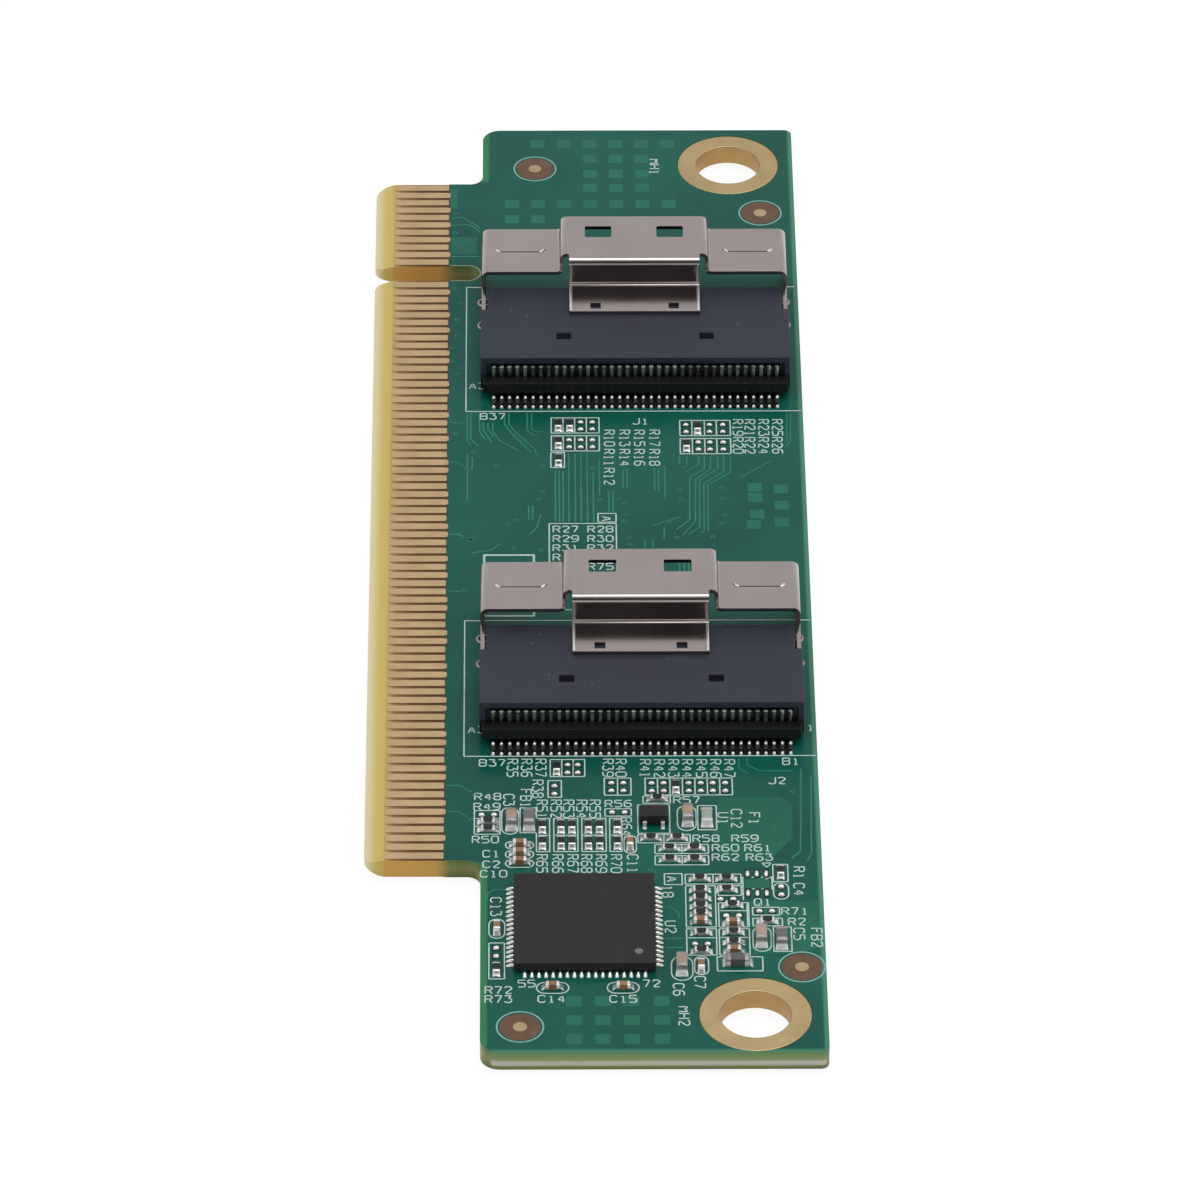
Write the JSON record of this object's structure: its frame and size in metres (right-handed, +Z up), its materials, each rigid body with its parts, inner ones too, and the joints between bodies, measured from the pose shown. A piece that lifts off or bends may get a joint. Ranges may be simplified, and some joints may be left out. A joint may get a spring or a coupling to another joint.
{
  "type": "pcie adapter card",
  "caption": "Flat green adapter card with a gold edge tongue, cable sockets in folded steel shells, a square chip and chip components.",
  "frame": {"origin": "bottom centre of the card's box, on the underside of the board", "axes": "+Y along the card's length, from the chip's end to the far socket's end; +X from the edge tongue to the plain long edge; +Z up, out of the component side"},
  "size_m": [0.0328, 0.1126, 0.0074],
  "materials": {
    "board_coat": "dark green satin coat over glass-fibre laminate, yellow-green at its cut edges",
    "gold": "matte gold plating",
    "shell_steel": "satin plated sheet",
    "socket_plastic": "black moulded, fine grain",
    "tin": "bright tin",
    "chip_plastic": "charcoal moulding compound",
    "plated_ceramic": "white ceramic with tin-plated ends",
    "resistor_glaze": "black glaze",
    "capacitor_ceramic": "brown ceramic",
    "dark_ceramic": "dark ceramic",
    "ferrite": "grey ferrite",
    "fuse_plastic": "pale grey"
  },
  "bodies": {
    "root": {"circuit_board": "board_coat", "edge_contacts_top": "gold", "edge_contacts_bottom": "gold", "mounting_hole_plating": "gold", "far_socket_shell": "shell_steel", "far_socket_housing": "socket_plastic", "far_socket_upper_contacts": "tin", "far_socket_lower_contacts": "tin", "near_socket_shell": "shell_steel", "near_socket_housing": "socket_plastic", "near_socket_upper_contacts": "tin", "near_socket_lower_contacts": "tin", "clock_chip_body": "chip_plastic", "clock_chip_leads": "tin", "clock_chip_thermal_pad": "tin", "resistor_bodies": "plated_ceramic", "resistor_glazes": "resistor_glaze", "small_capacitor_bodies": "capacitor_ceramic", "small_capacitor_terminals": "tin", "medium_capacitor_bodies": "capacitor_ceramic", "medium_capacitor_terminals": "tin", "dark_capacitor_body": "dark_ceramic", "dark_capacitor_terminals": "tin", "ferrite_bead_bodies": "ferrite", "ferrite_bead_terminals": "tin", "fuse_body": "fuse_plastic", "fuse_terminals": "tin", "regulator_body": "chip_plastic", "regulator_leads": "tin"}
  },
  "joints": []
}
